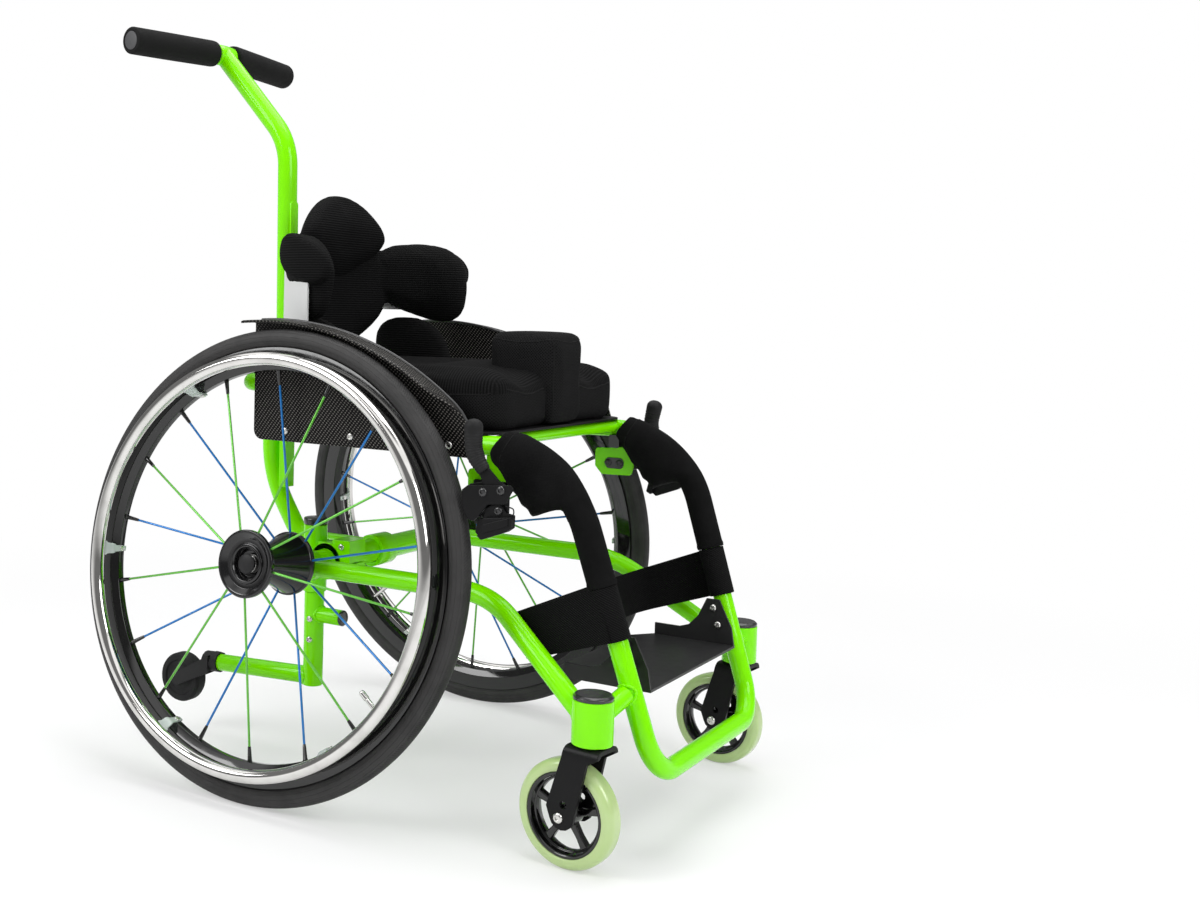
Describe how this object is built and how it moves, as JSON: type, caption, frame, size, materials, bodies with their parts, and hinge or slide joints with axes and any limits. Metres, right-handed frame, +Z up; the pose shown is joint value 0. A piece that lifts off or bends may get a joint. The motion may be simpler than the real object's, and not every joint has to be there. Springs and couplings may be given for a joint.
{
  "type": "pediatric active wheelchair",
  "caption": "Rigid-frame child's active wheelchair with cambered spoked wheels, contoured seat and back pads, footplate, brakes and an anti-tipper.",
  "frame": {"origin": "on the floor under the middle of the chair's bounding box", "axes": "+X forward, the way the rider faces; +Y to the rider's left; +Z up"},
  "size_m": [0.778, 0.613, 0.9351],
  "materials": {
    "lime_paint": "glossy lime green paint",
    "rear_tyre": "matt dark grey rubber",
    "rim_gloss": "gloss black",
    "hub_black": "gloss black hub with green and blue spokes",
    "polished_steel": "polished",
    "button_plastic": "gloss",
    "satin_black": "satin black",
    "silver_shell": "satin silver",
    "black_fabric": "woven black spacer fabric",
    "strap_fabric": "black webbing",
    "black_foam": "matt black foam",
    "carbon": "carbon twill under clear lacquer",
    "caster_tyre": "pale green, slightly clear",
    "caster_plastic": "gloss black",
    "black_plastic": "moulded, satin",
    "tipper_tyre": "matt black"
  },
  "bodies": {
    "frame": {"axle_tube": "lime_paint", "front_loop": "lime_paint", "front_cross_tube": "lime_paint", "rear_hoop": "lime_paint", "back_post": "lime_paint", "push_post": "lime_paint", "right_grip": "black_foam", "left_grip": "black_foam", "post_clamp": "satin_black", "back_shell": "silver_shell", "back_cushion": "black_fabric", "right_lateral_pad": "black_fabric", "left_lateral_pad": "black_fabric", "seat_pan": "satin_black", "seat_cushion": "black_fabric", "pommel": "black_fabric", "right_hip_pad": "black_fabric", "left_hip_pad": "black_fabric", "calf_strap": "strap_fabric", "footplate": "satin_black", "antitip_socket": "lime_paint", "right_axle": "polished_steel", "right_frame_side": "lime_paint", "right_caster_cap": "black_plastic", "right_seat_rail": "lime_paint", "right_side_guard": "carbon", "right_knee_guard": "black_foam", "right_brake_bracket": "satin_black", "left_axle": "polished_steel", "left_frame_side": "lime_paint", "left_caster_cap": "black_plastic", "left_seat_rail": "lime_paint", "left_side_guard": "carbon", "left_knee_guard": "black_foam", "left_brake_bracket": "satin_black"},
    "right_wheel": {"right_tyre": "rear_tyre", "right_rim": "rim_gloss", "right_hub": "hub_black", "right_handrim": "polished_steel"},
    "right_button": {"right_axle_button": "button_plastic"},
    "right_fork": {"right_caster_fork": "satin_black", "right_caster_axle": "polished_steel"},
    "right_caster": {"right_caster_wheel": "caster_plastic", "right_caster_tyre": "caster_tyre"},
    "right_brake_lever": {"right_brake_lever": "black_foam"},
    "right_brake_shoe": {"right_brake_shoe": "satin_black"},
    "left_wheel": {"left_tyre": "rear_tyre", "left_rim": "rim_gloss", "left_hub": "hub_black", "left_handrim": "polished_steel"},
    "left_button": {"left_axle_button": "button_plastic"},
    "left_fork": {"left_caster_fork": "satin_black", "left_caster_axle": "polished_steel"},
    "left_caster": {"left_caster_wheel": "caster_plastic", "left_caster_tyre": "caster_tyre"},
    "left_brake_lever": {"left_brake_lever": "black_foam"},
    "left_brake_shoe": {"left_brake_shoe": "satin_black"},
    "antitip_arm": {"antitip_tube": "lime_paint", "antitip_fork": "black_plastic"},
    "antitip_wheel": {"antitip_wheel": "tipper_tyre"}
  },
  "joints": [
    {"name": "right_wheel_spin", "type": "hinge", "parent": "frame", "child": "right_wheel", "pos_m": [-0.07524, -0.2384, 0.27275], "axis": [0, -0.9914, 0.1305], "continuous": true},
    {"name": "right_axle_press", "type": "slide", "parent": "frame", "child": "right_button", "axis": [0, -0.9914, 0.1305], "range_m": [-0.003, 0], "stiffness_N_per_m": 400},
    {"name": "right_caster_swivel", "type": "hinge", "parent": "frame", "child": "right_fork", "pos_m": [0.33576, -0.2165, 0], "axis": [0, 0, 1], "continuous": true},
    {"name": "right_caster_spin", "type": "hinge", "parent": "right_fork", "child": "right_caster", "pos_m": [0.3109, -0.21389, 0.0573], "axis": [0.1045, 0.9945, 0], "continuous": true},
    {"name": "right_brake_swing", "type": "hinge", "parent": "frame", "child": "right_brake_lever", "pos_m": [0.22276, -0.2283, 0.388], "axis": [0, 1, 0], "range_deg": [0, 50]},
    {"name": "right_shoe_swing", "type": "hinge", "parent": "frame", "child": "right_brake_shoe", "pos_m": [0.22976, -0.2283, 0.364], "axis": [0, 1, 0], "range_deg": [0, 15]},
    {"name": "left_wheel_spin", "type": "hinge", "parent": "frame", "child": "left_wheel", "pos_m": [-0.07524, 0.2384, 0.27275], "axis": [0, 0.9914, 0.1305], "continuous": true},
    {"name": "left_axle_press", "type": "slide", "parent": "frame", "child": "left_button", "axis": [0, 0.9914, 0.1305], "range_m": [-0.003, 0], "stiffness_N_per_m": 400},
    {"name": "left_caster_swivel", "type": "hinge", "parent": "frame", "child": "left_fork", "pos_m": [0.33576, 0.2165, 0], "axis": [0, 0, 1], "continuous": true},
    {"name": "left_caster_spin", "type": "hinge", "parent": "left_fork", "child": "left_caster", "pos_m": [0.3109, 0.21911, 0.0573], "axis": [0.1045, 0.9945, 0], "continuous": true},
    {"name": "left_brake_swing", "type": "hinge", "parent": "frame", "child": "left_brake_lever", "pos_m": [0.22276, 0.2283, 0.388], "axis": [0, 1, 0], "range_deg": [0, 50]},
    {"name": "left_shoe_swing", "type": "hinge", "parent": "frame", "child": "left_brake_shoe", "pos_m": [0.22976, 0.2283, 0.364], "axis": [0, 1, 0], "range_deg": [0, 15]},
    {"name": "antitip_swing", "type": "hinge", "parent": "frame", "child": "antitip_arm", "pos_m": [-0.10324, -0.1, 0], "axis": [0, 0, 1], "range_deg": [-180, 0]},
    {"name": "antitip_wheel_spin", "type": "hinge", "parent": "antitip_arm", "child": "antitip_wheel", "pos_m": [-0.31824, -0.1, 0.0715], "axis": [0, 1, 0], "continuous": true}
  ],
  "couplings": [
    {"joint": "right_shoe_swing", "follows": "right_brake_swing", "ratio": 0.3},
    {"joint": "left_shoe_swing", "follows": "left_brake_swing", "ratio": 0.3}
  ]
}
